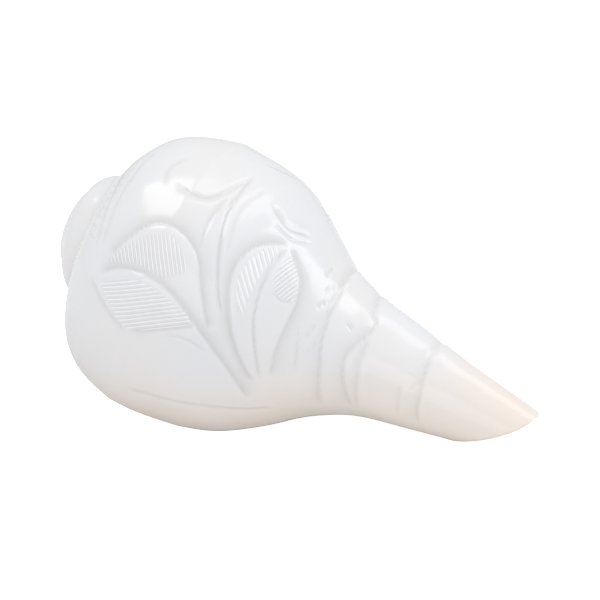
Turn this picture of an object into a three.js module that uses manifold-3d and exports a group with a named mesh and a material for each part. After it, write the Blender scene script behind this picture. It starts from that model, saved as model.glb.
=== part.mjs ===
/**
 * A conch shell with a low rounded spire, a swollen last whorl and a long siphonal canal, lying on its
 * aperture. One solid, in millimetres, +Z up, with the canal towards +X.
 *
 * The shell is drawn in its own growth frame first: `a` runs along the axis from the apex, `r` is the
 * distance from that axis, and `tau` counts whorls back from the outer lip (0 at the lip, -1 one turn
 * earlier). Every whorl is the same rounded section, smaller and closer to the apex the older it is.
 */
import * as THREE from "three";
import { mergeVertices } from "three/addons/utils/BufferGeometryUtils.js";
import Module from "manifold-3d";

// ---- driving dimensions: millimetres, degrees and whorls ----
const LENGTH = 150; // apex to canal tip, along the axis
const LIP_ANGLE = 220.7; // where the outer lip stands round the axis, from +Y towards +Z
const NOSE_DOWN = 16.9; // tilt of the axis in the resting pose
const WORN_APEX = 2.4; // the apex is worn down by this much
const WHORL_SCALE = [1.0, 0.66, 0.5]; // size of the section, for whole whorls back from the lip
const WHORL_RADIUS = [14.7, 12.4, 6.5]; // its centre, out from the axis
const WHORL_HEIGHT = [47.3, 36.0, 22.0]; // its centre, along the axis
const SECTION_RADII = [29.3, 33.2, 36, 31, 30, 31, 33.2, 33.9]; // every 45 degrees: outwards, then towards the canal
const SUTURE_BLEND = 1.8; // softening where whorls meet
const CANAL_BLEND = 24; // the belly runs into the canal over this
const CANAL_TIP_RADIUS = 8.2; // outside of the canal at its tip
const CANAL_FLARE = [0.15, 0.001]; // how it widens back from the tip
const PILLAR_TIP_RADIUS = 3.5; // the columella, inside the canal
const PILLAR_FLARE = 0.07;
const CANAL_WRAP = 2.05; // how quickly the canal wall leaves the columella
const CANAL_BEND = -3.4; // sideways sweep of the canal at the tip
const TIP_SLOPES = [0.9, 1.45]; // the tip is cut obliquely in two facets, longest on the back
const TIP_KNEE = 6.2; // the second, steeper facet starts this far below the back
const LIP_TUCK = 0.02; // the last of the lip is drawn in
const WALL = 3.4; // thickness of the shell wall
const WALL_AT_TIP = 1.8;
const CAVITY_DEPTH = 0.72; // how far the hollow runs back from the lip, in whorls
const REST_TRIM = 0.5; // the three resting points are worn flat by this much

// ---- how finely it is built ----
const COLUMNS = 54; // round one whorl
const ROWS = 40; // from the apex to the tip of the canal
const FAN_TOP = 36; // rays fan out from here over the spire...
const FAN_TIP = 156; // ...and from here over the uncut end of the canal
const UNCUT = 166; // the canal is drawn this long before its tip is cut
const SPIRE_ROWS = 0.28; // share of the rows in the first fan
const BODY_ROWS = 0.9; // share of the rows up to the second fan

const RAD = Math.PI / 180;
const clamp = (v, lo, hi) => Math.min(hi, Math.max(lo, v));
const smoothStep = (lo, hi, v) => {
  const t = clamp((v - lo) / (hi - lo), 0, 1);
  return t * t * (3 - 2 * t);
};
const smoothMin = (a, b, k) => {
  const h = clamp(0.5 + (0.5 * (b - a)) / k, 0, 1);
  return b * (1 - h) + a * h - k * h * (1 - h);
};
const smoothMax = (a, b, k) => -smoothMin(-a, -b, k);

/** A quantity given for three whole whorls, carried on geometrically and run smoothly between them. */
function growthCurve([now, once, twice]) {
  const step = twice / once;
  const rows = [now * (now / once), now, once, twice, twice * step, twice * step * step, twice * step ** 3];
  const logs = rows.map(Math.log);
  return (tau) => {
    const u = clamp(-tau, 0, 3.9999);
    const i = Math.floor(u);
    const f = u - i;
    const [p0, p1, p2, p3] = logs.slice(i, i + 4);
    const cubic = 3 * p1 - p0 - 3 * p2 + p3;
    return Math.exp(0.5 * (2 * p1 + (p2 - p0) * f + (2 * p0 - 5 * p1 + 4 * p2 - p3) * f * f + cubic * f ** 3));
  };
}
const scaleAt = growthCurve(WHORL_SCALE);
const radiusAt = growthCurve(WHORL_RADIUS);
const heightAt = growthCurve(WHORL_HEIGHT);

/** Radius of the whorl's section in a direction, a smooth curve through the eight given radii. */
function sectionRadius(phi) {
  let sum = 0;
  SECTION_RADII.forEach((radius, i) => {
    const d = phi - (i * Math.PI) / 4;
    sum += radius * (1 + 2 * Math.cos(d) + 2 * Math.cos(2 * d) + 2 * Math.cos(3 * d) + Math.cos(4 * d));
  });
  return sum / 8;
}

/** How far (r, a) lies outside the whorls and canal at `tau`; negative inside the shell. */
function outside(r, a, tau) {
  const tuck = 1 - LIP_TUCK * Math.exp(Math.min(tau, 0) / 0.1);
  let shape = Infinity;
  for (let k = 0; k < 4; k++) {
    const size = scaleAt(tau - k);
    const dr = r - radiusAt(tau - k);
    const da = a - heightAt(tau - k);
    const whorl = Math.hypot(dr, da) - sectionRadius(Math.atan2(da, dr)) * size * (k === 0 ? tuck : 1);
    shape = k === 0 ? whorl : smoothMin(shape, whorl, SUTURE_BLEND * size);
  }
  const back = clamp(LENGTH - a, 0, 90);
  const outer = CANAL_TIP_RADIUS + CANAL_FLARE[0] * back + CANAL_FLARE[1] * back * back;
  const pillar = PILLAR_TIP_RADIUS + PILLAR_FLARE * back;
  const wrap = Math.max(0, 1 - Math.abs(tau) ** CANAL_WRAP);
  const canal = Math.max(r - (pillar + (outer - pillar) * wrap), (60 - a) * 0.7);
  return smoothMin(shape, canal, CANAL_BLEND);
}

/** The worn apex and the far end of the uncut canal, taken off whatever `shape` is there. */
const trimmed = (shape, a) => smoothMax(Math.max(shape, a - UNCUT), WORN_APEX - a, 6);

/** The ray of each row: where it leaves the axis, and its direction in (r, a). */
const rays = Array.from({ length: ROWS + 1 }, (_, j) => {
  const t = j / ROWS;
  if (t < SPIRE_ROWS) return { a: FAN_TOP, turn: (Math.PI / 2) * (t / SPIRE_ROWS) };
  if (t < BODY_ROWS) {
    const u = (t - SPIRE_ROWS) / (BODY_ROWS - SPIRE_ROWS);
    return { a: FAN_TOP + (FAN_TIP - FAN_TOP) * u, turn: Math.PI / 2 };
  }
  return { a: FAN_TIP, turn: (Math.PI / 2) * (1 + (t - BODY_ROWS) / (1 - BODY_ROWS)) };
}).map(({ a, turn }) => ({ a, dr: Math.sin(turn), da: -Math.cos(turn) }));

/** How far along a ray a surface is met, given how far outside it any point lies. */
function reach(ray, howFarOutside) {
  let near = 0;
  let far = 90;
  for (let n = 0; n < 24; n++) {
    const mid = (near + far) / 2;
    if (howFarOutside(ray.dr * mid, ray.a + ray.da * mid) < 0) near = mid;
    else far = mid;
  }
  return (near + far) / 2;
}

/** A point given by a distance along a ray and a position round the shell, in the resting pose. */
function placed(ray, distance, theta) {
  const r = Math.max(0, ray.dr * distance);
  const a = ray.a + ray.da * distance;
  const along = clamp((a - 70) / (LENGTH - 70), 0, 1.2);
  const y = r * Math.cos(theta) + CANAL_BEND * along * along;
  const z = r * Math.sin(theta);
  const c = Math.cos(NOSE_DOWN * RAD);
  const s = Math.sin(NOSE_DOWN * RAD);
  return [a * c + z * s, y, -a * s + z * c];
}

/** Builds the closed skin: outer surface, lip, and the hollow with its outer wall and its floor. */
function shellMesh() {
  const points = [];
  const triangles = [];
  const add = (point) => points.push(point) - 1;
  const last = COLUMNS;
  const first = last - Math.round(CAVITY_DEPTH * COLUMNS); // where the hollow ends
  const column = (make) => Array.from({ length: COLUMNS + 1 }, (_, i) => make(i));
  const tauOf = (i) => i / COLUMNS - 1;
  const thetaOf = (i) => (LIP_ANGLE + 360 * tauOf(i)) * RAD;

  const outerAt = column((i) => rays.map((ray) =>
    reach(ray, (r, a) => trimmed(outside(r, a, tauOf(i)), a))));
  // the lip grows out of the suture: no step where it has hardly left the whorl below
  const step = rays.map((_, j) => outerAt[last][j] - outerAt[0][j]);
  const eased = step.map((d) => d * (1 - smoothStep(0.3, 1.6, d)));
  outerAt.forEach((row, i) => i > 0 && row.forEach((_, j) => {
    row[j] -= eased[j] * Math.exp(tauOf(i) / 0.04);
  }));

  const poles = [0, ROWS].map((j) => {
    const mean = outerAt.reduce((sum, row) => sum + row[j], 0) / outerAt.length;
    return add(placed(rays[j], mean, 0));
  });
  const pole = (j) => (j === 0 ? poles[0] : j === ROWS ? poles[1] : null);
  const outerId = column(() => []);
  for (let i = 0; i <= last; i++) {
    for (let j = 0; j <= ROWS; j++) {
      const meets = i === last && outerAt[last][j] - outerAt[0][j] < 0.02;
      outerId[i][j] = pole(j) ?? (meets ? outerId[0][j] : add(placed(rays[j], outerAt[i][j], thetaOf(i))));
    }
  }

  // the hollow: from its floor (the whorl below) out to the inside of the wall
  const wallId = column(() => []);
  const floorId = column(() => []);
  const shut = column(() => []); // no hollow here
  for (let i = first; i <= last; i++) {
    const tau = tauOf(i);
    const closing = Math.sqrt(Math.max(0, 1 - (tau / tauOf(first)) ** 2));
    for (let j = 0; j <= ROWS; j++) {
      const ray = rays[j];
      const floor = reach(ray, (r, a) => trimmed(outside(r, a, tau - 1), a));
      const wall = reach(ray, (r, a) => {
        const thickness = WALL + (WALL_AT_TIP - WALL) * smoothStep(80, LENGTH, a);
        return trimmed(outside(r, a, tau), a) + thickness;
      });
      const gap = pole(j) !== null || i === first ? 0 : Math.max(0, wall - floor - 0.8) * closing;
      shut[i][j] = gap <= 0;
      const shared = pole(j) ?? (i === last ? outerId[0][j] : null);
      floorId[i][j] = shared ?? add(placed(ray, floor, thetaOf(i)));
      wallId[i][j] = shut[i][j] ? floorId[i][j] : add(placed(ray, floor + gap, thetaOf(i)));
    }
  }

  const triangle = (a, b, c) => a !== b && b !== c && c !== a && triangles.push(a, b, c);
  const corners = (i, j) => [[[i, j], [i + 1, j], [i + 1, j + 1]], [[i, j], [i + 1, j + 1], [i, j + 1]]];
  for (let i = 0; i < last; i++) {
    for (let j = 0; j < ROWS; j++) {
      for (const tri of corners(i, j)) {
        const [a, b, c] = tri;
        triangle(outerId[a[0]][a[1]], outerId[b[0]][b[1]], outerId[c[0]][c[1]]);
        if (i < first || tri.every(([m, n]) => shut[m][n])) continue;
        triangle(wallId[a[0]][a[1]], wallId[c[0]][c[1]], wallId[b[0]][b[1]]);
        triangle(floorId[a[0]][a[1]], floorId[b[0]][b[1]], floorId[c[0]][c[1]]);
      }
    }
  }
  for (let j = 0; j < ROWS; j++) { // the lip's edge
    const [o0, o1, w0, w1] = [outerId[last][j], outerId[last][j + 1], wallId[last][j], wallId[last][j + 1]];
    triangle(o0, w0, w1);
    triangle(o0, w1, o1);
  }
  return { points, triangles };
}

const wasm = await Module();
wasm.setup();

function toManifold(points, triangles) {
  const mesh = new wasm.Mesh({
    numProp: 3,
    vertProperties: new Float32Array(points.flat()),
    triVerts: new Uint32Array(triangles),
  });
  return new wasm.Manifold(mesh);
}

function boxManifold(size, matrix) {
  const box = new THREE.BoxGeometry(...size).applyMatrix4(matrix);
  box.deleteAttribute("normal");
  box.deleteAttribute("uv");
  const merged = mergeVertices(box);
  const flat = [...merged.attributes.position.array];
  const points = Array.from({ length: flat.length / 3 }, (_, i) => flat.slice(3 * i, 3 * i + 3));
  return toManifold(points, [...merged.index.array]);
}

/** Where a box stands that takes off everything past one facet of the canal's end, leaning out at `slope`. */
function tipCutPlace(slope, below) {
  const depth = 60;
  const back = TIP_SLOPES[0] * below;
  return new THREE.Matrix4()
    .makeRotationY(NOSE_DOWN * RAD) // the resting pose
    .multiply(new THREE.Matrix4().makeTranslation(LENGTH - back, 0, CANAL_TIP_RADIUS - below))
    .multiply(new THREE.Matrix4().makeRotationY(Math.atan(slope))) // faces down and forwards
    .multiply(new THREE.Matrix4().makeTranslation(depth / 2, 0, 0));
}

/** The shell cut and with its resting points worn flat, as a geometry standing on z = 0 about the origin. */
function shellGeometry() {
  const { points, triangles } = shellMesh();
  const cut = TIP_SLOPES.reduce(
    (solid, slope, n) => solid.subtract(boxManifold([60, 80, 200], tipCutPlace(slope, n * TIP_KNEE))),
    toManifold(points, triangles),
  );
  const { min, max } = cut.boundingBox();
  const ground = new THREE.Matrix4().makeTranslation(0, 0, min[2] + REST_TRIM - 10);
  const mesh = cut.subtract(boxManifold([600, 600, 20], ground))
    .translate([-(min[0] + max[0]) / 2, -(min[1] + max[1]) / 2, -min[2] - REST_TRIM])
    .getMesh();
  const geometry = new THREE.BufferGeometry();
  const positions = new Float32Array((mesh.vertProperties.length / mesh.numProp) * 3);
  for (let i = 0; i < positions.length / 3; i++) {
    for (let n = 0; n < 3; n++) positions[3 * i + n] = mesh.vertProperties[mesh.numProp * i + n];
  }
  geometry.setAttribute("position", new THREE.BufferAttribute(positions, 3));
  geometry.setIndex([...mesh.triVerts]);
  geometry.computeVertexNormals();
  return geometry;
}

const shell = new THREE.Mesh(
  shellGeometry(),
  new THREE.MeshStandardMaterial({ color: 0xf0ece4, roughness: 0.2, metalness: 0 }),
);
shell.name = "conch_shell";

const group = new THREE.Group();
group.add(shell);
export default group;
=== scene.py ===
"""A polished conch shell with carved leaves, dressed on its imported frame.

The shell is worked out in its own growth frame: `a` runs along the axis from the apex, `r` is the
distance from that axis, and `tau` counts whorls back from the outer lip, all in millimetres, degrees and
whorls. Carving is cut into that surface, and the fine hatching is carried by two mesh attributes that the
polished finish reads.
"""

import logging
import math
from dataclasses import dataclass, field, replace
from enum import Enum
from typing import Callable

import bpy
import numpy as np
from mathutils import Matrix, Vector


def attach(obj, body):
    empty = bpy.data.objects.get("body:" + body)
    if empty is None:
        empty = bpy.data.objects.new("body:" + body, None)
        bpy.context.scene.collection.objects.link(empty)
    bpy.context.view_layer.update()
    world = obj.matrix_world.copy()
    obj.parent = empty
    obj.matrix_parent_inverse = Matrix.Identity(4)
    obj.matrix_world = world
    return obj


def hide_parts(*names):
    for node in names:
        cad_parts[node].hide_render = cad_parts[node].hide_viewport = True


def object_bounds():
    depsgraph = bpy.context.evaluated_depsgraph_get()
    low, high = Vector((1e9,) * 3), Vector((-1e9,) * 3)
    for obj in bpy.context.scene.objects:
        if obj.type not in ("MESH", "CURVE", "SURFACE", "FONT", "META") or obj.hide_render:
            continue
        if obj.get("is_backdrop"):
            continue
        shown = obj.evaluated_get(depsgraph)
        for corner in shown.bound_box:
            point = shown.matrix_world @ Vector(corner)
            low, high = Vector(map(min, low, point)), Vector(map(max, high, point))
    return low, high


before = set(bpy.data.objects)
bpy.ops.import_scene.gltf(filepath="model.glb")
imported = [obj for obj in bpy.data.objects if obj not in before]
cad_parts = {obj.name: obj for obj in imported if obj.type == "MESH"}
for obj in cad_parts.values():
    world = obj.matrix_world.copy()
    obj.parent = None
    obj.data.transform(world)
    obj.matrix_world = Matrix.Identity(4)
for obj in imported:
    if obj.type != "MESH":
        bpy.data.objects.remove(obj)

Colour = tuple[float, float, float]
Places = tuple[tuple[float, float], ...]
Socket = bpy.types.NodeSocket

LOG = logging.getLogger("conch")
MM = 0.001
CURVE_STEPS = 12
STEEP_SIDE = 0.55


def smooth_step(low: float, high: float, value: np.ndarray) -> np.ndarray:
    """A cubic ramp from 0 at `low` to 1 at `high`."""
    t = np.clip((value - low) / (high - low), 0.0, 1.0)
    return t * t * (3.0 - 2.0 * t)


def smooth_min(first: np.ndarray, second: np.ndarray, soft: np.ndarray | float) -> np.ndarray:
    """The smaller of two fields, blended over `soft` where they are close."""
    h = np.clip(0.5 + 0.5 * (second - first) / soft, 0.0, 1.0)
    return second * (1.0 - h) + first * h - soft * h * (1.0 - h)


def smooth_max(first: np.ndarray, second: np.ndarray, soft: np.ndarray | float) -> np.ndarray:
    """The larger of two fields, blended over `soft` where they are close."""
    return -smooth_min(-first, -second, soft)


@dataclass(frozen=True)
class Growth:
    """How the shell grew: its whorls, canal and axis, in millimetres and degrees."""

    length: float = 150.0
    lip_angle: float = 220.7
    lip_setback: float = 1.5
    nose_down: float = 16.9
    worn_apex: float = 2.4
    apex_blend: float = 6.0
    whorl_scale: tuple[float, float, float] = (1.0, 0.66, 0.5)
    whorl_radius: tuple[float, float, float] = (14.7, 12.4, 6.5)
    whorl_height: tuple[float, float, float] = (47.3, 36.0, 22.0)
    section_radii: tuple[float, ...] = (29.3, 33.2, 36.0, 31.0, 30.0, 31.0, 33.2, 33.9)
    suture_blend: float = 1.8
    canal_blend: float = 24.0
    canal_from: float = 60.0
    canal_slope: float = 0.7
    canal_tip_radius: float = 8.2
    canal_flare: tuple[float, float] = (0.15, 0.001)
    pillar_tip_radius: float = 3.5
    pillar_flare: float = 0.07
    canal_wrap: float = 2.05
    canal_bend: float = -3.4
    bend_from: float = 70.0
    tip_lean: tuple[float, float] = (1.29, -0.25)
    end_on_axis: float = 141.4
    lip_tuck: float = 0.02
    wall: float = 3.4
    wall_at_tip: float = 1.8

    def _curve(self, given: tuple[float, float, float], tau: np.ndarray) -> np.ndarray:
        """A quantity given for three whole whorls and carried on: a Catmull-Rom curve of its logarithm.

        Args:
            given: the quantity at the lip, one whorl back and two whorls back.
            tau: whorls back from the lip, 0 or negative.

        Returns:
            The quantity at each tau.
        """
        now, once, twice = given
        step = twice / once
        rows = np.log([now * now / once, now, once, twice, twice * step, twice * step**2, twice * step**3])
        u = np.clip(-tau, 0.0, 3.9999)
        i = np.floor(u).astype(int)
        f = u - i
        p0, p1, p2, p3 = rows[i], rows[i + 1], rows[i + 2], rows[i + 3]
        cubic = 3.0 * p1 - p0 - 3.0 * p2 + p3
        return np.exp(0.5 * (2 * p1 + (p2 - p0) * f + (2 * p0 - 5 * p1 + 4 * p2 - p3) * f**2 + cubic * f**3))

    def section_radius(self, dr: np.ndarray, da: np.ndarray, reach: np.ndarray) -> np.ndarray:
        """Radius of a whorl's section in a direction: the trigonometric curve through the eight given radii.

        Args:
            dr: the direction's part away from the axis.
            da: the direction's part towards the canal.
            reach: the length of (dr, da).

        Returns:
            The radius, from powers of the unit direction taken as a complex number.
        """
        waves = np.fft.fft(self.section_radii) / 8.0
        z = (dr + 1j * da) / np.maximum(reach, 1e-9)
        return (waves[0] + 2.0 * z * (waves[1] + z * (waves[2] + z * (waves[3] + 0.5 * z * waves[4])))).real

    def outside(self, r: np.ndarray, a: np.ndarray, tau: np.ndarray) -> np.ndarray:
        """How far points lie outside the whorls and canal: the smooth union of four whorls and the canal.

        Args:
            r: distance from the axis.
            a: distance along the axis.
            tau: whorls back from the lip.

        Returns:
            Millimetres outside the surface, negative inside.
        """
        tuck = 1.0 - self.lip_tuck * np.exp(np.minimum(tau, 0.0) / 0.1)
        shape = None
        for k in range(4):
            size = self._curve(self.whorl_scale, tau - k)
            dr = r - self._curve(self.whorl_radius, tau - k)
            da = a - self._curve(self.whorl_height, tau - k)
            span = np.hypot(dr, da)
            whorl = span - self.section_radius(dr, da, span) * size * (tuck if k == 0 else 1.0)
            shape = whorl if shape is None else smooth_min(shape, whorl, self.suture_blend * size)
        back = np.clip(self.length - a, 0.0, 90.0)
        outer = self.canal_tip_radius + self.canal_flare[0] * back + self.canal_flare[1] * back**2
        pillar = self.pillar_tip_radius + self.pillar_flare * back
        wrap = np.maximum(0.0, 1.0 - np.abs(tau) ** self.canal_wrap)
        canal = np.maximum(r - (pillar + (outer - pillar) * wrap), (self.canal_from - a) * self.canal_slope)
        shape = smooth_min(shape, canal, self.canal_blend)
        return smooth_max(shape, self.worn_apex - a, self.apex_blend)

    def theta(self, tau: np.ndarray) -> np.ndarray:
        """Where a growth line stands round the axis, in radians from +Y towards +Z."""
        return np.radians(self.lip_angle + 360.0 * tau)

    def placed(self, r: np.ndarray, a: np.ndarray, theta: np.ndarray) -> np.ndarray:
        """Points in the resting pose: turned round the axis, swept aside along the canal, tilted nose down.

        Args:
            r: distance from the axis.
            a: distance along the axis.
            theta: position round the axis in radians.

        Returns:
            Points in millimetres, with x, y, z in the last place.
        """
        along = np.clip((a - self.bend_from) / (self.length - self.bend_from), 0.0, 1.2)
        y = r * np.cos(theta) + self.canal_bend * along**2
        z = r * np.sin(theta)
        c, s = math.cos(math.radians(self.nose_down)), math.sin(math.radians(self.nose_down))
        return np.stack([a * c + z * s, y, -a * s + z * c], axis=-1)


@dataclass(frozen=True)
class Lattice:
    """How finely the skin is drawn, and where its columns gather."""

    rows: int = 240
    columns: int = 308
    hollow_step: int = 7
    hollow_columns: int = 38
    lip_folds: int = 6
    fan_top: float = 36.0
    spire_rows: float = 0.31
    rim_rows: int = 6
    rim_length: float = 1.7
    rim_round: float = 0.7
    lean_from: float = 95.0
    density: Places = ((-42.0, 0.62), (-20.0, 1.2), (98.0, 1.2), (116.0, 2.1))
    skin: float = 0.15


@dataclass
class Skin:
    """The closed skin of the shell as grids of points, with a column for each growth station."""

    growth: Growth = field(default_factory=Growth)
    lattice: Lattice = field(default_factory=Lattice)

    def stations(self) -> np.ndarray:
        """Growth stations over the last whorl, closer together where the carving is.

        Returns:
            Each tau from one whorl back to the lip: the even steps of the running total of a column density,
            which is straight between the turns that the lattice gives.
        """
        end = -self.growth.lip_setback / 360.0
        fine = np.linspace(end - 1.0, end, 2001)
        turns, weights = np.array(self.lattice.density).T
        weight = np.interp(self.growth.lip_angle + 360.0 * fine, turns, weights)
        total = np.concatenate([[0.0], np.cumsum(0.5 * (weight[1:] + weight[:-1]))])
        return np.interp(np.linspace(0.0, total[-1], self.lattice.columns + 1), total, fine)

    def origins(self) -> tuple[np.ndarray, np.ndarray, np.ndarray]:
        """Where every row's ray leaves the axis.

        Returns:
            The place on the axis, the turn of the ray from the apex, and how far the skin is drawn in there:
            the last rows follow a quarter of an ellipse round the rim of the canal's end.
        """
        g, lat = self.growth, self.lattice
        body = lat.rows - lat.rim_rows
        t = np.linspace(0.0, 1.0, body + 1)
        along = np.clip((t - lat.spire_rows) / (1.0 - lat.spire_rows), 0.0, 1.0)
        place = lat.fan_top + (g.end_on_axis - lat.rim_length - lat.fan_top) * along
        turn = 0.5 * math.pi * np.clip(t / lat.spire_rows, 0.0, 1.0)
        rim = 0.5 * math.pi * np.arange(1, lat.rim_rows + 1) / lat.rim_rows
        place = np.concatenate([place, g.end_on_axis - lat.rim_length * (1.0 - np.sin(rim))])
        turn = np.concatenate([turn, np.full(lat.rim_rows, 0.5 * math.pi)])
        drawn_in = np.concatenate([np.zeros(body + 1), lat.rim_round * (1.0 - np.cos(rim))])
        return place, turn, drawn_in

    def rays(self, theta: np.ndarray) -> tuple[np.ndarray, np.ndarray, np.ndarray]:
        """The ray of every row: a fan over the spire, then rays across the axis that lean at the end.

        Args:
            theta: position round the axis of each column, in radians.

        Returns:
            The origin on the axis, and the direction in r and in a, each with columns by rows.
        """
        g = self.growth
        place, turn, _ = self.origins()
        slant = g.tip_lean[0] * np.sin(theta) + g.tip_lean[1] * np.sin(theta) ** 2
        lean = smooth_step(self.lattice.lean_from, g.end_on_axis, place)[None, :] * slant[:, None]
        dr = np.sin(turn)[None, :] + 0.0 * lean
        da = -np.cos(turn)[None, :] + lean
        size = np.hypot(dr, da)
        return np.broadcast_to(place, size.shape), dr / size, da / size

    def reach(self, theta: np.ndarray, tau: np.ndarray,
              inset: Callable[[np.ndarray], np.ndarray]) -> np.ndarray:
        """How far along each ray the surface at `tau` is met, found by halving the ray seventeen times.

        Args:
            theta: position round the axis of each column.
            tau: growth of each column.
            inset: how deep under the surface to stop, given a.

        Returns:
            Distances along the rays, columns by rows.
        """
        origin, dr, da = self.rays(theta)
        near, far = np.zeros(dr.shape), np.full(dr.shape, 90.0)
        for _ in range(17):
            middle = 0.5 * (near + far)
            a = origin + da * middle
            inside = self.growth.outside(dr * middle, a, tau[:, None]) + inset(a) < 0.0
            near, far = np.where(inside, middle, near), np.where(inside, far, middle)
        return 0.5 * (near + far)

    def points(self, theta: np.ndarray, distance: np.ndarray) -> np.ndarray:
        """Points at a distance along each ray, in the resting pose."""
        origin, dr, da = self.rays(theta)
        return self.growth.placed(dr * distance, origin + da * distance, theta[:, None] + 0.0 * dr)

    def on_surface(self, a: np.ndarray, degrees: np.ndarray) -> np.ndarray:
        """Points on the last whorl at given places along and round the axis, found by halving straight rays.

        Args:
            a: places along the axis.
            degrees: places round the axis.

        Returns:
            Points in the resting pose.
        """
        tau = (degrees - self.growth.lip_angle) / 360.0
        near, far = np.zeros(a.shape), np.full(a.shape, 60.0)
        for _ in range(18):
            middle = 0.5 * (near + far)
            inside = self.growth.outside(middle, a, tau) + self.lattice.skin < 0.0
            near, far = np.where(inside, middle, near), np.where(inside, far, middle)
        return self.growth.placed(0.5 * (near + far), a, np.radians(degrees))


@dataclass
class ShellBody:
    """The whole shell as one closed mesh: outer skin, hollow, lip and the end of the canal."""

    skin: Skin = field(default_factory=Skin)
    name: str = "carved_shell"
    fold_places: tuple[float, ...] = (60.0, 68.0, 76.0, 84.0)
    fold_height: float = 1.1
    fold_width: float = 1.6
    fold_pitch: float = 26.0
    fold_fade: float = 0.09
    wall_thins_from: float = 80.0
    least_gap: float = 0.8
    lip_bulge: float = 0.75
    lip_eases: tuple[float, float] = (0.3, 1.6)
    lip_ease_whorls: float = 0.04
    lip_joined: float = 0.02

    def __post_init__(self) -> None:
        """Works out the growth stations and the three sheets of the skin."""
        g, lat = self.skin.growth, self.skin.lattice
        self.tau = self.skin.stations()
        self.theta = g.theta(self.tau)
        self.first = lat.columns - lat.hollow_step * lat.hollow_columns
        self.outer = self._outer_distances()
        self.outer_points = self.skin.points(self.theta, self.outer)
        origin, _, da = self.skin.rays(self.theta)
        self.a = origin + da * self.outer
        self.degrees = np.degrees(self.theta)[:, None] + 0.0 * self.a
        self._hollow_sheets()

    def _outer_distances(self) -> np.ndarray:
        """Distances of the outer skin along its rays.

        The lip grows out of the suture: where it has hardly left the whorl below, the step between the last
        column and the first is eased away over the last tenth of a whorl.

        Returns:
            Distances, columns by rows.
        """
        lat = self.skin.lattice
        _, _, drawn_in = self.skin.origins()
        outer = self.skin.reach(self.theta, self.tau, lambda a: lat.skin + 0.0 * a) - drawn_in[None, :]
        step = outer[-1] - outer[0]
        eased = step * (1.0 - smooth_step(*self.lip_eases, step))
        outer -= eased[None, :] * np.exp((self.tau - self.tau[-1]) / self.lip_ease_whorls)[:, None]
        outer[:, 0] = outer[:, 0].mean()
        return outer

    def _hollow_sheets(self) -> None:
        """Works out the hollow: the inside of the wall and its floor, which is the whorl below.

        The gap between them is what the wall's thickness leaves, closed off elliptically towards the inner
        end of the hollow.
        """
        lat = self.skin.lattice
        picks = np.arange(self.first, lat.columns + 1, lat.hollow_step)
        theta, tau = self.theta[picks], self.tau[picks]
        floor = self.skin.reach(theta, tau - 1.0, lambda a: lat.skin + 0.0 * a)
        wall = self.skin.reach(theta, tau, self._wall_depth)
        closing = np.sqrt(np.clip(1.0 - ((tau - tau[-1]) / (tau[0] - tau[-1])) ** 2, 0.0, 1.0))[:, None]
        gap = np.maximum(0.0, wall - floor - self.least_gap) * closing
        gap[0] = 0.0
        gap[:, 0] = 0.0
        gap[:, -2] = gap[:, -1]
        floor += np.minimum(self._folds(theta, tau, floor), 0.5 * gap)
        floor[-1] = self.outer[0]
        self.shut = gap <= 0.0
        self.floor_points = self.skin.points(theta, floor)
        self.wall_points = self.skin.points(theta, np.maximum(floor, floor + gap))
        self.shut[-1] = self.outer[-1] - self.outer[0] < self.lip_eases[0]
        wall_last = np.clip(wall[-1], self.outer[0], self.outer[-1])
        wall_last = np.where(self.shut[-1], self.outer[0], wall_last)
        self.wall_points[-1] = self.skin.points(theta[-1:], wall_last[None, :])[0]

    def _wall_depth(self, a: np.ndarray) -> np.ndarray:
        """How deep the inside of the wall lies under the surface, which is less towards the canal's end.

        Args:
            a: places along the axis.

        Returns:
            Depths in millimetres.
        """
        g = self.skin.growth
        thinned = smooth_step(self.wall_thins_from, g.length, a)
        return self.skin.lattice.skin + g.wall + (g.wall_at_tip - g.wall) * thinned

    def _folds(self, theta: np.ndarray, tau: np.ndarray, floor: np.ndarray) -> np.ndarray:
        """Spiral folds along the pillar: bell-shaped ridges that wind with it and fade out at the lip.

        Args:
            theta: position round the axis of each column of the hollow.
            tau: growth of each column.
            floor: distances of the floor along its rays.

        Returns:
            Heights above the floor, columns by rows.
        """
        origin, _, da = self.skin.rays(theta)
        along = origin + da * floor + self.fold_pitch * tau[:, None]
        ridges = sum(np.exp(-(((along - place) / self.fold_width) ** 2)) for place in self.fold_places)
        return self.fold_height * ridges * smooth_step(0.0, -self.fold_fade, tau - tau[-1])[:, None]

    def _lip_points(self) -> np.ndarray:
        """The rounded edge of the lip: half a turn from the outer skin to the wall, bulging past the lip.

        Returns:
            Points with rows by folds.
        """
        lat = self.skin.lattice
        outer, wall = self.outer_points[-1], self.wall_points[-1]
        along = self.outer_points[-1] - self.outer_points[-2]
        along = along / np.maximum(np.linalg.norm(along, axis=-1, keepdims=True), 1e-9)
        half = 0.5 * (outer - wall)
        turn = math.pi * np.arange(1, lat.lip_folds)[None, :, None] / lat.lip_folds
        bulge = self.lip_bulge * np.linalg.norm(half, axis=-1, keepdims=True)[:, None, :]
        centre = (0.5 * (outer + wall))[:, None, :]
        return centre + half[:, None, :] * np.cos(turn) + along[:, None, :] * bulge * np.sin(turn)

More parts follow.
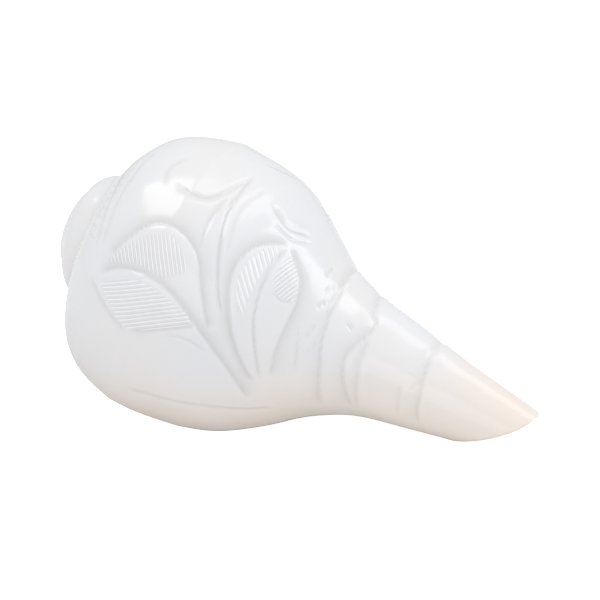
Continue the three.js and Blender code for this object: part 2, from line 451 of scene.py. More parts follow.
    def mesh(self, outer_points: np.ndarray) -> tuple[np.ndarray, np.ndarray, int]:
        """Joins the sheets into one closed triangle mesh.

        Args:
            outer_points: the outer skin's points after carving, columns by rows.

        Returns:
            The points, the triangles, and how many points at the front belong to the outer skin.
        """
        lat = self.skin.lattice
        columns, rows, last = lat.columns + 1, lat.rows + 1, lat.columns
        hollow = lat.hollow_columns + 1
        self.outer_points = outer_points
        lip = self._lip_points()
        pole = self.skin.growth.placed(np.zeros(1), np.array([self.skin.growth.end_on_axis]), np.zeros(1))
        outer_id = np.arange(columns * rows).reshape(columns, rows)
        wall_id = outer_id.size + np.arange(hollow * rows).reshape(hollow, rows)
        floor_id = wall_id + hollow * rows
        lip_id = floor_id[-1, -1] + 1 + np.arange(rows * (lat.lip_folds - 1)).reshape(rows, lat.lip_folds - 1)
        pole_id = lip_id[-1, -1] + 1
        points = np.concatenate([grid.reshape(-1, 3) for grid in (
            outer_points, self.wall_points, self.floor_points, lip, pole)])

        weld = np.arange(len(points))
        weld[outer_id[:, 0]] = outer_id[0, 0]
        weld[wall_id[:, 0]] = outer_id[0, 0]
        weld[floor_id[:, 0]] = outer_id[0, 0]
        weld[lip_id[0]] = outer_id[0, 0]
        weld[floor_id[-1, 1:]] = outer_id[0, 1:]
        weld[wall_id[self.shut]] = weld[floor_id[self.shut]]
        meets = self.outer[-1] - self.outer[0] < self.lip_joined
        weld[outer_id[-1, meets]] = weld[outer_id[0, meets]]
        weld[lip_id[meets]] = weld[outer_id[0, meets]][:, None]

        sheets = [grid_triangles(outer_id, False)]
        open_cell = ~self.shut
        sheets.append(grid_triangles(wall_id, True, open_cell))
        sheets.append(grid_triangles(floor_id, False, open_cell))
        edge = np.concatenate([outer_id[-1][:, None], lip_id, wall_id[-1][:, None]], axis=1)
        sheets.append(grid_triangles(edge.T, False))
        sheets.append(self._end_cap(outer_id[:, -1], wall_id[:, -1], floor_id[:, -1], lip_id[-1], pole_id))
        sheets = [tidy_triangles(weld[sheet]) for sheet in sheets]
        self.cap_count = len(sheets[-1])
        triangles = np.concatenate(sheets)
        used, packed = np.unique(triangles, return_inverse=True)
        outer_used = int(np.searchsorted(used, outer_id.size))
        self.kept = used
        return points[used], packed.reshape(-1, 3), outer_used

    def _end_cap(self, outer: np.ndarray, wall: np.ndarray, floor: np.ndarray, lip: np.ndarray,
                 pole: int) -> np.ndarray:
        """Triangles of the canal's end: a disc round the axis, the ring of the wall, the end of the lip.

        Args:
            outer: last row of the outer skin.
            wall: last row of the wall.
            floor: last row of the floor.
            lip: last row of the lip's folds.
            pole: the point on the axis.

        Returns:
            Triangles facing the open end.
        """
        step, first = self.skin.lattice.hollow_step, self.first
        made = [np.stack([np.full(first - 1, pole), outer[: first - 1], outer[1:first]], axis=1)]
        corner = outer[first - 1]
        made.append(np.array([[pole, corner, floor[0]], [floor[0], corner, outer[first]]]))
        made.append(np.stack([np.full(len(floor) - 1, pole), floor[:-1], floor[1:]], axis=1))
        near = np.repeat(wall[:-1], step)
        made.append(np.stack([near, outer[first:-1], outer[first + 1:]], axis=1))
        made.append(np.stack([wall[:-1], outer[first + step::step], wall[1:]], axis=1))
        loop = np.concatenate([[outer[-1]], lip, [wall[-1]]])
        made.append(np.stack([np.full(len(loop) - 2, loop[-1]), loop[:-2], loop[1:-1]], axis=1))
        return np.concatenate(made)


def tidy_triangles(triangles: np.ndarray) -> np.ndarray:
    """The triangles that have three different corners."""
    x, y, z = triangles.T
    return triangles[(x != y) & (y != z) & (z != x)]


def grid_triangles(ids: np.ndarray, flip: bool, keep: np.ndarray | None = None) -> np.ndarray:
    """Two triangles for each cell of a grid of point numbers.

    Args:
        ids: point numbers, columns by rows.
        flip: turn the faces round.
        keep: where given, triangles with no kept corner are left out.

    Returns:
        The triangles.
    """
    a, b, c, d = ids[:-1, :-1], ids[1:, :-1], ids[1:, 1:], ids[:-1, 1:]
    cells = np.concatenate([np.stack([a, b, c], -1).reshape(-1, 3), np.stack([a, c, d], -1).reshape(-1, 3)])
    if keep is not None:
        ka, kb, kc, kd = keep[:-1, :-1], keep[1:, :-1], keep[1:, 1:], keep[:-1, 1:]
        cells = cells[np.concatenate([(ka | kb | kc).ravel(), (ka | kc | kd).ravel()])]
    return cells[:, ::-1] if flip else cells


def smooth_curve(knots: np.ndarray) -> np.ndarray:
    """The Catmull-Rom curve from the second knot to the last but one, in short even steps between each two.

    Args:
        knots: the points it passes, one row each, with one more at either end that only steers it.

    Returns:
        Points along the curve, one row each.
    """
    spans = len(knots) - 3
    u = np.linspace(0.0, spans, CURVE_STEPS * spans + 1)
    i = np.minimum(u.astype(int), spans - 1)
    f = (u - i)[:, None]
    p0, p1, p2, p3 = knots[i], knots[i + 1], knots[i + 2], knots[i + 3]
    cubic = 3.0 * p1 - p0 - 3.0 * p2 + p3
    return 0.5 * (2 * p1 + (p2 - p0) * f + (2 * p0 - 5 * p1 + 4 * p2 - p3) * f**2 + cubic * f**3)


@dataclass(frozen=True)
class FarSide:
    """How the leaf spray is repeated: how far round and along the axis, how much smaller and shallower."""

    turn: float = -121.0
    shrink: float = 0.9
    shift: float = 3.0
    shallower: float = 0.9

    def places(self, given: Places) -> Places:
        """The given places carried to the far side."""
        return tuple((a * self.shrink + self.shift, t + self.turn) for a, t in given)


class Cut(Enum):
    """The carver's two tools, as how a cut's depth falls off across it."""

    VEE = "a narrow groove, the same on both sides"
    STEP = "a groove that is steep on the left hand and fades out over the right"

    def across(self, distance: np.ndarray, side: np.ndarray, width: float) -> np.ndarray:
        """How deep the cut is across its line, as a share of its depth.

        Args:
            distance: millimetres from the line.
            side: positive on the traveller's right hand, seen from outside.
            width: the width over which the cut fades.

        Returns:
            A bell curve, which on a step's right hand is replaced by an exponential.
        """
        bell = np.exp(-((distance / (0.5 * width)) ** 2))
        if self is Cut.VEE:
            return bell
        return np.where(side > 0.0, np.exp(-distance / width), np.exp(-((distance / STEEP_SIDE) ** 2)))


@dataclass(frozen=True)
class Stroke:
    """One cut along a curve, through places given along the axis (mm) and round it (degrees)."""

    places: Places
    depth: float = 0.4
    width: float = 0.9
    cut: Cut = Cut.VEE
    taper: float = 4.0

    def curve(self) -> np.ndarray:
        """The smooth curve through the places, steered by a straight step past either end.

        Returns:
            Places along and round the axis, one row each.
        """
        given = np.array(self.places, float)
        before, after = 2.0 * given[:1] - given[1:2], 2.0 * given[-1:] - given[-2:-1]
        return smooth_curve(np.concatenate([before, given, after]))

    def repeated(self, far: FarSide) -> "Stroke":
        """The same stroke on the far side, cut a little less deep."""
        return replace(self, places=far.places(self.places), depth=self.depth * far.shallower)


@dataclass(frozen=True)
class Hatching:
    """A patch of fine parallel lines inside a leaf.

    The outline is a smooth loop through places along and round the axis; the lines lean by `angle` degrees
    from the axis, towards growing turns, and stand `spacing` millimetres apart.
    """

    outline: Places
    angle: float
    spacing: float

    def loop(self) -> np.ndarray:
        """The smooth closed curve through the outline's places."""
        given = np.array(self.outline, float)
        return smooth_curve(np.concatenate([given[-1:], given, given[:2]]))[:-1]

    def repeated(self, far: FarSide) -> "Hatching":
        """The same patch on the far side."""
        return replace(self, outline=far.places(self.outline))


@dataclass
class Carving:
    """The carved leaves, stems and rings, cut into the outer skin."""

    body: ShellBody
    far_side: FarSide = field(default_factory=FarSide)
    round_scale: float = 0.715
    reach: tuple[float, float] = (9.0, 14.0)
    patch_edge: tuple[float, float] = (-0.1, 0.7)
    patch_margin: float = 2.0
    undulation: float = 0.12
    polish_from: tuple[float, float] = (2.0, 8.0)
    polish_to: tuple[float, float] = (140.0, 128.0)
    ends_fade: tuple[float, float] = (0.02, 0.01)

    def leaf_strokes(self) -> list[Stroke]:
        """The edges, midribs and stems of the leaf spray on the side that faces out.

        Returns:
            The strokes of the left leaf, the upper leaf, the stems, the right leaf and the petals, in turn.
        """
        edge = {"depth": 0.72, "width": 1.9, "cut": Cut.STEP}
        return [
            Stroke(((78, 198), (70, 181), (58, 167), (46, 159), (34, 160), (27, 167)), **edge),
            Stroke(((25, 170), (33, 177), (42, 182)), 0.45, 1.0, Cut.STEP, 3.0),
            Stroke(((42, 181), (51, 175), (60, 168)), 0.45, 1.2, Cut.STEP, 3.0),
            Stroke(((50, 178), (57, 175), (65, 177)), 0.3, 0.9),
            Stroke(((64, 171), (58, 157), (51, 143), (42, 138), (34, 143), (28, 160)), **edge),
            Stroke(((36, 120), (42, 123), (48, 119), (52, 101)), 0.5, 1.3, Cut.STEP),
            Stroke(((51, 113), (50, 130), (52, 143), (57, 153)), 0.45, 1.1),
            Stroke(((52, 98), (53, 123), (57, 141), (62, 155), (66, 163)), 0.6, 1.3),
            Stroke(((57, 101), (56, 122), (59, 141)), 0.3, 0.9),
            Stroke(((71, 118), (64, 130), (62, 144), (66, 160), (71, 173), (78, 189)), **edge),
            Stroke(((81, 186), (80, 168), (80, 147), (78, 130), (71, 118)), **edge),
            Stroke(((71, 120), (70, 137), (72, 157), (76, 174), (79, 187)), 0.5, 1.0),
            Stroke(((73, 143), (76, 145), (79, 142)), 0.25, 0.7, Cut.VEE, 1.5),
            Stroke(((81, 146), (84, 163), (86, 183)), 0.3, 1.0),
            Stroke(((74, 104), (68, 112), (61, 107)), 0.6, 1.5, Cut.STEP, 3.0),
            Stroke(((64, 115), (70, 116), (75, 107)), 0.4, 1.1, Cut.VEE, 2.5),
            Stroke(((61, 72), (56, 79), (51, 86)), 0.4, 1.0),
            Stroke(((34, 104), (31, 114), (34, 124)), 0.35, 1.2),
        ]

    def hatched_patches(self) -> list[Hatching]:
        """The hatching inside the leaves.

        Returns:
            The patches of the left leaf, the upper leaf and the two halves of the right leaf.
        """
        return [
            Hatching(((30, 168), (42, 161), (58, 168), (43, 180), (34, 175)), -29.0, 1.1),
            Hatching(((29, 161), (34, 148), (43, 141), (51, 150), (46, 157), (37, 157)), 56.0, 1.1),
            Hatching(((70, 123), (65, 132), (64, 146), (69, 160), (69, 141)), 52.0, 1.4),
            Hatching(((72, 124), (76, 127), (79, 141), (75, 144), (72, 138)), -76.0, 0.9),
        ]

    def neck_strokes(self) -> list[Stroke]:
        """The rings round the neck and canal, the almond band, and the short strokes beside them.

        Returns:
            The strokes.
        """
        ring = {"depth": 0.55, "width": 1.5, "cut": Cut.STEP}
        short = [
            ((86, 146), (85, 158)), ((88, 155), (87, 167)), ((86, 108), (84, 127)),
            ((86, 127), (84, 139)), ((82, 117), (82, 104)), ((92, 134), (95, 139)),
            ((93, 132), (95, 137)), ((114, 143), (113, 151)), ((116, 151), (115, 166)),
        ]
        return [
            Stroke(((85, -30), (85, 60), (87, 122), (89, 155), (91, 175), (94, 209)), **ring),
            Stroke(((91, 10), (96, 98), (99, 125), (96, 160), (99, 190), (102, 209)), **ring),
            Stroke(((99, 131), (100, 162), (103, 208)), 0.45, 1.2, Cut.STEP),
            Stroke(((112, 158), (113, 180), (114, 203)), 0.28, 1.0, Cut.STEP),
            Stroke(((115, -30), (116, 110), (118, 168), (120, 210)), 0.5, 1.4, Cut.STEP),
            *[Stroke(places, 0.32, 0.9, Cut.VEE, 1.3) for places in short],
        ]

    def plain_strokes(self) -> list[Stroke]:
        """The groove beside the lip and the beaded border on the shoulder of the spire.

        Returns:
            The strokes; the beads stand five degrees apart and bow towards the apex in the middle.
        """
        bows = [(turn, 0.02 * abs(turn - 130)) for turn in range(104, 158, 5)]
        beads = [((17.2 + bow, turn), (20.6 + bow, turn + 2.2)) for turn, bow in bows]
        return [
            Stroke(((44, 207), (65, 203), (84, 205)), 0.35, 1.1),
            Stroke(((19, 96), (18, 122), (23, 159)), 0.4, 1.0),
            Stroke(((23, 100), (22, 128), (25, 158)), 0.35, 1.0),
            *[Stroke(places, 0.16, 0.9, Cut.VEE, 1.2) for places in beads],
        ]

    def strokes(self) -> list[Stroke]:
        """Every cut on the shell, with the leaf spray repeated on its far side.

        Returns:
            The strokes.
        """
        leaves = self.leaf_strokes()
        repeated = [leaf.repeated(self.far_side) for leaf in leaves]
        return [*leaves, *repeated, *self.neck_strokes(), *self.plain_strokes()]

    def depth(self) -> np.ndarray:
        """How deep every point of the outer skin is cut, in millimetres: the deepest of all strokes there.

        Returns:
            Depths, columns by rows.
        """
        body = self.body
        deepest = np.zeros(body.a.shape)
        for stroke in self.strokes():
            places = stroke.curve()
            line = body.skin.on_surface(places[:, 0], places[:, 1])
            low, high = places.min(axis=0) - self.reach, places.max(axis=0) + self.reach
            near = ((body.a > low[0]) & (body.a < high[0])
                    & (body.degrees > low[1]) & (body.degrees < high[1]))
            distance, along, side = self._from_line(near, line, places)
            total = float(np.linalg.norm(np.diff(line, axis=0), axis=1).sum())
            ends = smooth_step(0.0, stroke.taper, along) * smooth_step(0.0, stroke.taper, total - along)
            cut = stroke.depth * ends * stroke.cut.across(distance, side, stroke.width)
            deepest[near] = np.maximum(deepest[near], cut)
        return deepest

    def _from_line(self, near: np.ndarray, line: np.ndarray,
                   places: np.ndarray) -> tuple[np.ndarray, np.ndarray, np.ndarray]:
        """Measures points against a line of segments.

        Each point takes its nearest corner of the line and is dropped onto the two segments that meet there.

        Args:
            near: which points of the outer skin are measured.
            line: the corners of the line.
            places: the same corners along and round the axis.

        Returns:
            Distance to the line, distance along it, and a number that is positive on its right hand.
        """
        points = self.body.outer_points[near]
        flat = np.stack([self.body.a[near], self.body.degrees[near] * self.round_scale], axis=1)
        chart = places * np.array([1.0, self.round_scale])
        gaps = (points**2).sum(1)[:, None] + (line**2).sum(1)[None, :] - 2.0 * points @ line.T
        corner = gaps.argmin(axis=1)
        run = np.concatenate([[0.0], np.cumsum(np.linalg.norm(np.diff(line, axis=0), axis=1))])
        best, along, side = np.full(len(points), 1e9), np.zeros(len(points)), np.zeros(len(points))
        for shift in (-1, 0):
            i = np.clip(corner + shift, 0, len(line) - 2)
            segment = line[i + 1] - line[i]
            size = (segment**2).sum(1)
            share = np.clip(((points - line[i]) * segment).sum(1) / size, 0.0, 1.0)
            distance = np.linalg.norm(points - line[i] - segment * share[:, None], axis=1)
            step, off = chart[i + 1] - chart[i], flat - chart[i]
            closer = distance < best
            best = np.where(closer, distance, best)
            along = np.where(closer, run[i] + share * np.sqrt(size), along)
            side = np.where(closer, step[:, 0] * off[:, 1] - step[:, 1] * off[:, 0], side)
        return best, along, side

    def hatch_fields(self) -> tuple[np.ndarray, np.ndarray]:
        """The fine hatching as two numbers at every point of the outer skin.

        Returns:
            The line number, growing by 1 from line to line, and how deep the lines are there, 0 to 1.
        """
        body = self.body
        phase, depth = np.zeros(body.a.shape), np.zeros(body.a.shape)
        nearest = np.full(body.a.shape, -2.0)
        front = self.hatched_patches()
        repeated = [patch.repeated(self.far_side) for patch in front]
        scale = np.array([1.0, self.round_scale])
        across = body.degrees * self.round_scale
        for patch in [*front, *repeated]:
            outline = patch.loop() * scale
            low, high = outline.min(axis=0) - self.patch_margin, outline.max(axis=0) + self.patch_margin
            near = (body.a > low[0]) & (body.a < high[0]) & (across > low[1]) & (across < high[1])
            flat = np.stack([body.a[near], across[near]], axis=1)
            lean = math.radians(patch.angle)
            lines = (flat[:, 0] * math.sin(lean) - flat[:, 1] * math.cos(lean)) / patch.spacing
            inside = inside_distance(flat, outline)
            closer = inside > nearest[near]
            phase[near] = np.where(closer, lines, phase[near])
            depth[near] = np.where(closer, smooth_step(*self.patch_edge, inside), depth[near])
            nearest[near] = np.where(closer, inside, nearest[near])
        return phase, depth

    def carved(self, depth: np.ndarray) -> np.ndarray:
        """The outer skin cut inwards along its normals, with the slight undulation of hand polishing.

        The undulation is a product of two slow sine waves. Cuts fade out towards the first and last columns,
        where the lip leaves the whorl below.

        Args:
            depth: how deep every point is cut, columns by rows.

        Returns:
            The points after carving.
        """
        points = self.body.outer_points
        normal = np.cross(np.gradient(points, axis=1), np.gradient(points, axis=0))
        normal /= np.maximum(np.linalg.norm(normal, axis=-1, keepdims=True), 1e-9)
        outward = points - points.reshape(-1, 3).mean(axis=0)
        normal *= np.sign((normal * outward).sum())
        x, y, z = np.moveaxis(points, -1, 0)
        waves = np.sin(0.31 * x + 0.9 * np.sin(0.17 * z)) * np.sin(0.27 * z + 0.23 * y + 1.1)
        fade = smooth_step(*self.polish_from, self.body.a) * smooth_step(*self.polish_to, self.body.a)
        tau = self.body.tau
        first, last = self.ends_fade
        ends = smooth_step(tau[0], tau[0] + first, tau) * smooth_step(tau[-1], tau[-1] - last, tau)
        inwards = depth * ends[:, None] + self.undulation * (1.0 + waves) * fade
        return points - normal * inwards[..., None]


def inside_distance(points: np.ndarray, outline: np.ndarray) -> np.ndarray:
    """How far points lie inside a closed outline, negative outside.

    Args:
        points: the points, one row each.
        outline: the corners of the outline in order.

    Returns:
        The distance to the nearest side, with its sign from counting the sides that a ray crosses.
    """
    nearest, crossings = np.full(len(points), 1e9), np.zeros(len(points), int)
    for start, end in zip(outline, np.roll(outline, -1, axis=0)):
        side = end - start
        share = np.clip(((points - start) @ side) / (side @ side), 0.0, 1.0)
        nearest = np.minimum(nearest, np.linalg.norm(points - start - share[:, None] * side, axis=1))
        spans = (start[1] > points[:, 1]) != (end[1] > points[:, 1])
        reach = start[0] + side[0] * (points[:, 1] - start[1]) / (side[1] if side[1] else 1e-9)
        crossings += spans & (points[:, 0] < reach)
    return np.where(crossings % 2 == 1, nearest, -nearest)


@dataclass
class Nodes:
    """A material's nodes, with a short way to add each kind that the materials here use."""

    tree: bpy.types.NodeTree

    def link(self, source: Socket, target: Socket) -> None:
        """Joins two sockets."""
        self.tree.links.new(source, target)

    def place(self) -> Socket:
        """The point's place on the object, in metres."""
        return self.tree.nodes.new("ShaderNodeTexCoord").outputs["Object"]

    def attribute(self, name: str) -> Socket:
        """A number stored on the mesh's points.

        Args:
            name: the attribute's name.

        Returns:
            The number.
        """
        node = self.tree.nodes.new("ShaderNodeAttribute")
        node.attribute_name = name
        return node.outputs["Fac"]

    def stretched(self, place: Socket, turn: Colour, scale: Colour) -> Socket:
        """Places turned and then scaled along each axis.

        Args:
            place: the places.
            turn: angles round x, y and z, in radians.
            scale: turns of the pattern per metre along each axis.

        Returns:
            The new places.
        """
        node = self.tree.nodes.new("ShaderNodeMapping")
        node.inputs["Rotation"].default_value = turn
        node.inputs["Scale"].default_value = scale
        self.link(place, node.inputs["Vector"])
        return node.outputs["Vector"]

    def noise(self, place: Socket, scale: float, detail: float) -> Socket:
        """A cloud pattern from 0 to 1.

        Args:
            place: where it is read.
            scale: its turns per unit of `place`.
            detail: how many finer layers it has.

        Returns:
            The pattern.
        """
        node = self.tree.nodes.new("ShaderNodeTexNoise")
        node.inputs["Scale"].default_value = scale
        node.inputs["Detail"].default_value = detail
        self.link(place, node.inputs["Vector"])
        return node.outputs["Fac"]

    def ramp(self, value: Socket, edges: tuple[float, float], ends: tuple[float, float],
             curve: str = "SMOOTHSTEP") -> Socket:
        """A value carried from one range to another, and held at the ends.

        Args:
            value: the value.
            edges: the range it is read over.
            ends: what it becomes at each edge.
            curve: how it runs between them, smoothly or straight.

        Returns:
            The new value.
        """
        node = self.tree.nodes.new("ShaderNodeMapRange")
        node.interpolation_type = curve
        names = ("From Min", "From Max", "To Min", "To Max")
        for name, number in zip(names, (*edges, *ends)):
            node.inputs[name].default_value = number
        self.link(value, node.inputs["Value"])
        return node.outputs["Result"]

    def math(self, operation: str, first: Socket, second: Socket | float | None = None) -> Socket:
        """A sum on one value or two.

        Args:
            operation: the kind of sum.
            first: the value.
            second: the other value, or a constant, where the operation takes one.

        Returns:
            The result.
        """
        node = self.tree.nodes.new("ShaderNodeMath")
        node.operation = operation
        self.link(first, node.inputs[0])
        if isinstance(second, float):
            node.inputs[1].default_value = second
        elif second is not None:
            self.link(second, node.inputs[1])
        return node.outputs[0]

    def mix(self, factor: Socket, first: Socket | Colour, second: Colour) -> Socket:
        """Two colours mixed.

        Args:
            factor: share of the second colour.
            first: a colour, or the socket of one.
            second: the colour mixed in.

        Returns:
            The mixed colour.
        """
        node = self.tree.nodes.new("ShaderNodeMix")
        node.data_type = "RGBA"
        self.link(factor, node.inputs["Factor"])
        if isinstance(first, tuple):
            node.inputs["A"].default_value = (*first, 1.0)
        else:
            self.link(first, node.inputs["A"])
        node.inputs["B"].default_value = (*second, 1.0)
        return node.outputs["Result"]

    def bump(self, height: Socket, distance: float, under: Socket | None = None) -> Socket:
        """A normal bent by a height.

        Args:
            height: the height, about 0 to 1.
            distance: how many metres a height of 1 is.
            under: another bent normal that this one lies on.

        Returns:
            The normal.
        """
        node = self.tree.nodes.new("ShaderNodeBump")
        node.inputs["Distance"].default_value = distance
        node.inputs["Strength"].default_value = 1.0
        self.link(height, node.inputs["Height"])
        if under is not None:
            self.link(under, node.inputs["Normal"])
        return node.outputs["Normal"]


@dataclass(frozen=True)
class PolishedShell:
    """The finish: milky white shell polished to a gloss, cream towards the canal and the lip.

    Patterns are given as turns per metre and layers of detail, and edges as the range of a pattern over which
    a colour comes in.
    """

    milk: Colour = (0.815, 0.82, 0.835)
    blush: Colour = (0.835, 0.818, 0.808)
    cream: Colour = (0.90, 0.775, 0.66)
    shade: Colour = (0.62, 0.60, 0.59)
    # The whitening of the hatch lines: partly the frosting of engraved lines, partly a painted glint.
    frost_and_glint: Colour = (0.97, 0.97, 0.975)
    clouds: tuple[float, float] = (28.0, 3.0)
    cloud_edges: tuple[float, float] = (0.38, 0.66)
    bands: Colour = (190.0, 9.0, 9.0)
    band_edges: tuple[float, float] = (0.5, 0.8)
    band_strength: float = 0.35
    shade_strength: float = 0.38
    frost_and_glint_edges: tuple[float, float] = (-0.95, -0.2)
    grain: tuple[float, float] = (260.0, 4.0)
    roughness: tuple[float, float] = (0.15, 0.25)
    ripples: tuple[float, float] = (120.0, 2.0)
    ripple_bump: float = 0.00008
    hatch_bump: float = 0.00011
    refraction: float = 1.53
    glow: float = 0.12
    glow_colour: Colour = (1.0, 0.85, 0.75)
    glow_depth: float = 0.003
    coat: float = 0.35
    coat_roughness: float = 0.1

    def material(self) -> bpy.types.Material:
        """Builds the shader.

        Returns:
            The material.
        """
        made = bpy.data.materials.new("polished_shell")
        made.use_nodes = True
        nodes = Nodes(made.node_tree)
        shader = made.node_tree.nodes["Principled BSDF"]
        constants = {
            "IOR": self.refraction,
            "Subsurface Weight": self.glow,
            "Subsurface Radius": self.glow_colour,
            "Subsurface Scale": self.glow_depth,
            "Coat Weight": self.coat,
            "Coat Roughness": self.coat_roughness,
        }
        for name, value in constants.items():
            shader.inputs[name].default_value = value
        place = nodes.place()
        cuts = self._hatching(nodes)
        rough = nodes.ramp(nodes.noise(place, *self.grain), (0.0, 1.0), self.roughness, "LINEAR")
        nodes.link(self._colour(nodes, place, cuts), shader.inputs["Base Color"])
        nodes.link(rough, shader.inputs["Roughness"])
        nodes.link(self._normal(nodes, place, cuts), shader.inputs["Normal"])
        return made

    def _hatching(self, nodes: Nodes) -> Socket:
        """The height of the hatching: a cosine of the line number, times how deep the lines are there.

        Args:
            nodes: the material's nodes.

        Returns:
            The height, -1 in the middle of a groove and 1 between two.
        """
        wave = nodes.math("COSINE", nodes.math("MULTIPLY", nodes.attribute("hatch_line"), 2.0 * math.pi))
        return nodes.math("MULTIPLY", wave, nodes.attribute("hatch_depth"))

    def _colour(self, nodes: Nodes, place: Socket, cuts: Socket) -> Socket:
        """Milk with blush clouds and bands, cream where warm, shaded in recesses, frosting and painted glints
        in cuts.

        Args:
            nodes: the material's nodes.
            place: the point's place on the object.
            cuts: the height of the hatching.

        Returns:
            The colour.
        """
        across = nodes.stretched(place, (0.0, math.radians(-Growth.nose_down), 0.0), self.bands)
        clouds = nodes.ramp(nodes.noise(place, *self.clouds), self.cloud_edges, (0.0, 1.0))
        bands = nodes.ramp(nodes.noise(across, 1.0, 3.0), self.band_edges, (0.0, 1.0))
        recess = nodes.math("MULTIPLY", nodes.attribute("recess"), self.shade_strength)
        colour = nodes.mix(clouds, self.milk, self.blush)
        colour = nodes.mix(nodes.math("MULTIPLY", bands, self.band_strength), colour, self.blush)
        colour = nodes.mix(nodes.attribute("warmth"), colour, self.cream)
        colour = nodes.mix(recess, colour, self.shade)
        # Whitens the middle of each hatch line: partly the frosting of an engraved line, partly a painted
        # glint.
        return nodes.mix(nodes.ramp(cuts, self.frost_and_glint_edges, (1.0, 0.0)), colour, self.frost_and_glint)

    def _normal(self, nodes: Nodes, place: Socket, cuts: Socket) -> Socket:
        """The hatching's grooves, under the faint ripples that polishing leaves.

        Args:
            nodes: the material's nodes.
            place: the point's place on the object.
            cuts: the height of the hatching.

        Returns:
            The bent normal.
        """
        hatched = nodes.bump(cuts, self.hatch_bump)
        return nodes.bump(nodes.noise(place, *self.ripples), self.ripple_bump, hatched)


@dataclass
class CarvedShell:
    """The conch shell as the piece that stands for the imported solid.

    The warm values are how cream the shell is at the canal's end, low on its sides, and inside the mouth;
    `end_span` is a share of the shell's half length and `under_span` is in millimetres above the ground.
    """

    low: Vector
    high: Vector
    body: ShellBody = field(default_factory=ShellBody)
    finish: PolishedShell = field(default_factory=PolishedShell)
    full_recess: float = 0.6
    warm_end: float = 0.70
    warm_under: float = 0.62
    warm_inside: float = 0.55
    end_span: tuple[float, float] = (0.42, 0.98)
    under_span: tuple[float, float] = (26.0, 2.0)

    def build(self) -> bpy.types.Object:
        """Builds, places and dresses the shell.

        Returns:
            The shell's object.
        """
        carving = Carving(self.body)
        depth = carving.depth()
        phase, hatch = carving.hatch_fields()
        points, triangles, outer_count = self.body.mesh(carving.carved(depth))
        points = self._placed(points)

        mesh = bpy.data.meshes.new(self.body.name)
        mesh.from_pydata((points * MM).tolist(), [], triangles.tolist())
        flat_from = len(triangles) - self.body.cap_count
        mesh.polygons.foreach_set("use_smooth", np.arange(len(triangles)) < flat_from)
        picked = self.body.kept[:outer_count]
        inner = np.zeros(len(points) - outer_count)
        recess = np.clip(depth / self.full_recess, 0.0, 1.0)
        for name, values in (("hatch_line", phase), ("hatch_depth", hatch), ("recess", recess)):
            self._store(mesh, name, np.concatenate([values.ravel()[picked], inner]))
        self._store(mesh, "warmth", self._warmth(points, outer_count))
        mesh.update()
        shell = bpy.data.objects.new(self.body.name, mesh)
        bpy.context.scene.collection.objects.link(shell)
        mesh.materials.append(self.finish.material())
        LOG.info("%s: %d points, %d triangles", self.body.name, len(points), len(triangles))
        return shell

    def _placed(self, points: np.ndarray) -> np.ndarray:
        """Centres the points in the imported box, hangs them from its top, and wears them flat at the ground.

        Args:
            points: the points as grown, in millimetres.

        Returns:
            The points where they belong.
        """
        low, high = points.min(axis=0), points.max(axis=0)
        shift = np.array((self.low + self.high) / 2.0) / MM - 0.5 * (low + high)
        shift[2] = self.high.z / MM - self.body.skin.lattice.skin - high[2]
        placed = points + shift
        placed[:, 2] = np.maximum(placed[:, 2], 0.0)
        return placed

    def _store(self, mesh: bpy.types.Mesh, name: str, values: np.ndarray) -> None:
        """Stores one number for each point of the mesh."""
        layer = mesh.attributes.new(name, "FLOAT", "POINT")
        layer.data.foreach_set("value", values.astype(np.float32))

    def _warmth(self, points: np.ndarray, outer_count: int) -> np.ndarray:
        """How cream each point is: the greatest of its warmth at the end, low down and inside.

        Args:
            points: the placed points.
            outer_count: how many of them, at the front, belong to the outer skin.

        Returns:
            Values from 0 to 1.
        """
        x, _, z = points.T
        share = x / (self.high.x / MM)
        end = self.warm_end * smooth_step(*self.end_span, share)
        under = self.warm_under * smooth_step(*self.under_span, z)
        inside = np.where(np.arange(len(points)) >= outer_count, self.warm_inside, 0.0)
        return np.maximum(np.maximum(end, under), inside)


@dataclass(frozen=True)
class Softbox:
    """One soft light: which way and how far it stands from its target, its size and its brightness."""

    name: str
    direction: tuple[float, float, float]
    distance: float
    size: tuple[float, float]
    radiance: float

    def build(self, target: Vector) -> None:
        """Hangs the light at its distance from the target and turns it to face that.

        Args:
            target: the point it faces.
        """
        data = bpy.data.lights.new(self.name, "AREA")
        data.shape = "RECTANGLE"
        data.size, data.size_y = self.size
        data.energy = self.radiance * math.pi * self.size[0] * self.size[1]
        light = bpy.data.objects.new(self.name, data)
        away = Vector(self.direction).normalized()
        light.location = target + away * self.distance
        light.rotation_euler = away.to_track_quat("Z", "Y").to_euler()
        bpy.context.scene.collection.objects.link(light)


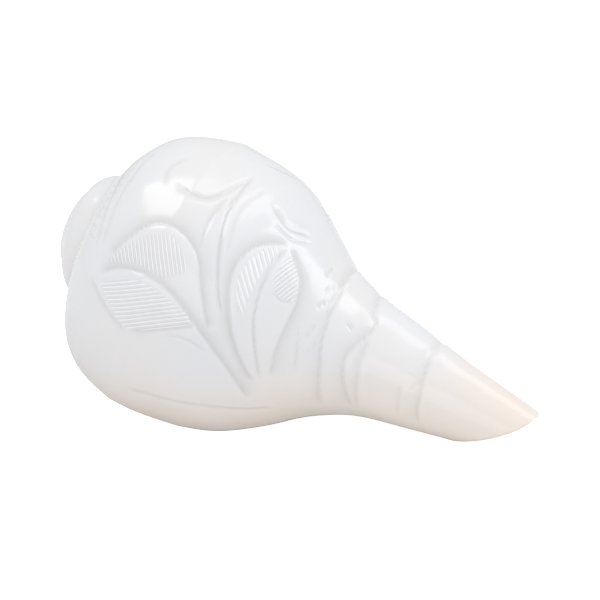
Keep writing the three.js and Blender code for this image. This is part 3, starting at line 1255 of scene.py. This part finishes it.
@dataclass
class Studio:
    """The camera, the pale floor and the soft light round the shell."""

    azimuth: float = 22.9
    elevation: float = 21.77
    distance: float = 0.9497
    frame_width: float = 0.1668
    target: tuple[float, float, float] = (0.00101, 0.0, 0.03134)
    sensor: float = 36.0
    clip: tuple[float, float] = (0.05, 40.0)
    sky: Colour = (0.97, 0.98, 1.0)
    ambient: float = 0.77
    floor_reach: float = 6.0
    floor_grey: float = 0.82
    floor_roughness: float = 0.9
    floor_glow: float = 0.95
    softboxes: tuple[Softbox, ...] = (
        Softbox("softbox_left", (-0.40, -0.10, 0.91), 0.95, (0.62, 0.40), 2.0),
        Softbox("softbox_right", (0.80, 0.28, 0.53), 1.0, (0.46, 0.62), 1.9),
        Softbox("softbox_back", (0.25, 0.32, 0.92), 1.1, (0.36, 0.85), 1.05),
        Softbox("fill", (0.15, -0.93, 0.24), 1.5, (1.4, 0.9), 0.72),
    )

    def build(self) -> None:
        """Builds the camera, floor, lights and surrounding light."""
        scene = bpy.context.scene
        scene.view_settings.view_transform = "Standard"
        self._camera(scene)
        self._floor(scene)
        for box in self.softboxes:
            box.build(Vector(self.target))
        world = bpy.data.worlds.new("studio")
        scene.world = world
        world.use_nodes = True
        background = world.node_tree.nodes["Background"]
        background.inputs["Color"].default_value = (*self.sky, 1.0)
        background.inputs["Strength"].default_value = self.ambient
        LOG.info("studio: camera, floor and %d softboxes", len(self.softboxes))

    def _camera(self, scene: bpy.types.Scene) -> None:
        """Points the camera at its target, with the lens that spans the frame.

        Args:
            scene: the scene it is set on.
        """
        around, above = math.radians(self.azimuth), math.radians(self.elevation)
        level = math.cos(above)
        back = Vector((math.sin(around) * level, -math.cos(around) * level, math.sin(above)))
        data = bpy.data.cameras.new("camera")
        data.sensor_width = self.sensor
        data.lens = self.sensor * self.distance / self.frame_width
        data.clip_start, data.clip_end = self.clip
        camera = bpy.data.objects.new("camera", data)
        camera.location = Vector(self.target) + back * self.distance
        camera.rotation_euler = back.to_track_quat("Z", "Y").to_euler()
        scene.collection.objects.link(camera)
        scene.camera = camera

    def _floor(self, scene: bpy.types.Scene) -> None:
        """Lays the floor: a wide pale square that looks white, but throws back only the light on it.

        Its own glow shows to the camera alone, so that it doesn't light the shell from below.

        Args:
            scene: the scene it is laid in.
        """
        mesh = bpy.data.meshes.new("floor")
        sides = ((-1.0, -1.0), (1.0, -1.0), (1.0, 1.0), (-1.0, 1.0))
        corners = [(x * self.floor_reach, y * self.floor_reach, 0.0) for x, y in sides]
        mesh.from_pydata(corners, [], [(0, 1, 2, 3)])
        floor = bpy.data.objects.new("floor", mesh)
        scene.collection.objects.link(floor)
        made = bpy.data.materials.new("floor")
        made.use_nodes = True
        nodes = Nodes(made.node_tree)
        shader = made.node_tree.nodes["Principled BSDF"]
        shader.inputs["Base Color"].default_value = (self.floor_grey, self.floor_grey, self.floor_grey, 1.0)
        shader.inputs["Roughness"].default_value = self.floor_roughness
        shader.inputs["Specular IOR Level"].default_value = 0.0
        shader.inputs["Emission Color"].default_value = (1.0, 1.0, 1.0, 1.0)
        seen = made.node_tree.nodes.new("ShaderNodeLightPath").outputs["Is Camera Ray"]
        nodes.link(nodes.math("MULTIPLY", seen, self.floor_glow), shader.inputs["Emission Strength"])
        mesh.materials.append(made)
        floor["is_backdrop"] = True


def main() -> None:
    """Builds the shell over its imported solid, then the studio."""
    logging.basicConfig(level=logging.INFO, format="%(name)s: %(message)s")
    low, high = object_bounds()
    shell = CarvedShell(low, high).build()
    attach(shell, "root")
    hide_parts("conch_shell")
    Studio().build()


if __name__ == "__main__":
    main()
